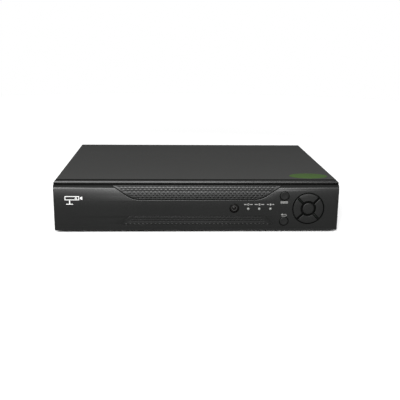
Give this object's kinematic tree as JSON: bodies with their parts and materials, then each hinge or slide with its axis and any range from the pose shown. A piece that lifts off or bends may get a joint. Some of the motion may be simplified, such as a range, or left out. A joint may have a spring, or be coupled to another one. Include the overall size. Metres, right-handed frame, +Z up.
{
  "type": "dvr recorder",
  "caption": "Low desktop video recorder: steel case, moulded front bezel with grille, lamps, round direction keypad, drive, main board, rear sockets and fan.",
  "frame": {"origin": "centre of the bounding box's footprint, at the bottom of the feet", "axes": "+X to the right as seen from the front, +Y from the front bezel to the rear sockets, +Z up"},
  "size_m": [0.3012, 0.2388, 0.0564],
  "materials": {
    "bezel_plastic": "fine textured moulding",
    "key_plastic": "satin moulding",
    "grille_mesh": "satin black, perforated",
    "dark_lens": "smoked, glossy",
    "clear_lens": "water clear",
    "cover_paint": "dark grey powder coat",
    "tray_steel": "dark powder coat",
    "black_screw": "black oxide",
    "zinc_screw": "bright zinc",
    "foot_rubber": "matt moulding",
    "label_paper": "glossy film",
    "drive_casting": "black painted casting",
    "drive_lid": "satin plate",
    "circuit_board": "green solder mask",
    "heatsink": "plain extruded",
    "cell_steel": "bright",
    "black_plastic": "moulded",
    "socket_plastic": "moulded",
    "socket_nickel": "nickel plate",
    "socket_steel": "tinned",
    "terminal_plastic": "moulded",
    "data_cable": "flexible sleeve",
    "grey_cable": "flexible sleeve"
  },
  "bodies": {
    "case": {"front_bezel": "bezel_plastic", "upper_grille": "grille_mesh", "lower_grille": "bezel_plastic", "ir_window": "dark_lens", "power_led": "clear_lens", "record_led": "clear_lens", "alarm_led": "clear_lens", "key_board": "circuit_board", "ir_receiver": "dark_lens", "key_board_screw_1": "zinc_screw", "key_board_screw_2": "zinc_screw", "chassis_tray": "tray_steel", "foot_front_left": "foot_rubber", "foot_front_right": "foot_rubber", "foot_rear_left": "foot_rubber", "foot_rear_right": "foot_rubber", "drive_screw_1": "zinc_screw", "drive_screw_2": "zinc_screw", "drive_screw_3": "zinc_screw", "drive_screw_4": "zinc_screw", "top_cover": "cover_paint", "quality_label": "label_paper", "side_screw_right_front": "black_screw", "side_screw_left_front": "black_screw", "side_screw_right_rear": "black_screw", "side_screw_left_rear": "black_screw", "rear_screw_left": "black_screw", "rear_screw_right": "black_screw", "hard_drive_body": "drive_casting", "hard_drive_lid": "drive_lid", "hard_drive_board": "circuit_board", "main_board": "circuit_board", "heatsink": "heatsink", "coin_cell": "cell_steel", "buzzer": "black_plastic", "drive_socket": "socket_plastic", "video_socket_1": "socket_nickel", "video_socket_2": "socket_nickel", "video_socket_3": "socket_nickel", "video_socket_4": "socket_nickel", "audio_in_socket": "black_plastic", "audio_out_socket": "black_plastic", "vga_socket": "socket_steel", "hdmi_socket": "socket_steel", "usb_socket": "socket_steel", "network_socket": "socket_steel", "terminal_block": "terminal_plastic", "power_socket": "black_plastic", "fan_frame": "black_plastic", "sata_data_cable": "data_cable", "sata_power_cable": "grey_cable", "front_ribbon": "grey_cable"},
    "up_key": {"up_key": "key_plastic"},
    "down_key": {"down_key": "key_plastic"},
    "left_key": {"left_key": "key_plastic"},
    "right_key": {"right_key": "key_plastic"},
    "enter_key": {"enter_key": "key_plastic"},
    "menu_button": {"menu_button": "key_plastic"},
    "escape_button": {"escape_button": "key_plastic"},
    "fan_rotor": {"fan_rotor": "black_plastic"}
  },
  "joints": [
    {"name": "up_key_press", "type": "slide", "parent": "case", "child": "up_key", "axis": [0, 1, 0], "range_m": [0, 0.0005], "stiffness_N_per_m": 1500, "springref_m": -0.0003},
    {"name": "down_key_press", "type": "slide", "parent": "case", "child": "down_key", "axis": [0, 1, 0], "range_m": [0, 0.0005], "stiffness_N_per_m": 1500, "springref_m": -0.0003},
    {"name": "left_key_press", "type": "slide", "parent": "case", "child": "left_key", "axis": [0, 1, 0], "range_m": [0, 0.0005], "stiffness_N_per_m": 1500, "springref_m": -0.0003},
    {"name": "right_key_press", "type": "slide", "parent": "case", "child": "right_key", "axis": [0, 1, 0], "range_m": [0, 0.0005], "stiffness_N_per_m": 1500, "springref_m": -0.0003},
    {"name": "enter_key_press", "type": "slide", "parent": "case", "child": "enter_key", "axis": [0, 1, 0], "range_m": [0, 0.0005], "stiffness_N_per_m": 1500, "springref_m": -0.0003},
    {"name": "menu_button_press", "type": "slide", "parent": "case", "child": "menu_button", "axis": [0, 1, 0], "range_m": [0, 0.0005], "stiffness_N_per_m": 1500, "springref_m": -0.0003},
    {"name": "escape_button_press", "type": "slide", "parent": "case", "child": "escape_button", "axis": [0, 1, 0], "range_m": [0, 0.0005], "stiffness_N_per_m": 1500, "springref_m": -0.0003},
    {"name": "fan_spin", "type": "hinge", "parent": "case", "child": "fan_rotor", "pos_m": [-0.1262, 0.0976, 0.0292], "axis": [0, 1, 0], "continuous": true}
  ]
}
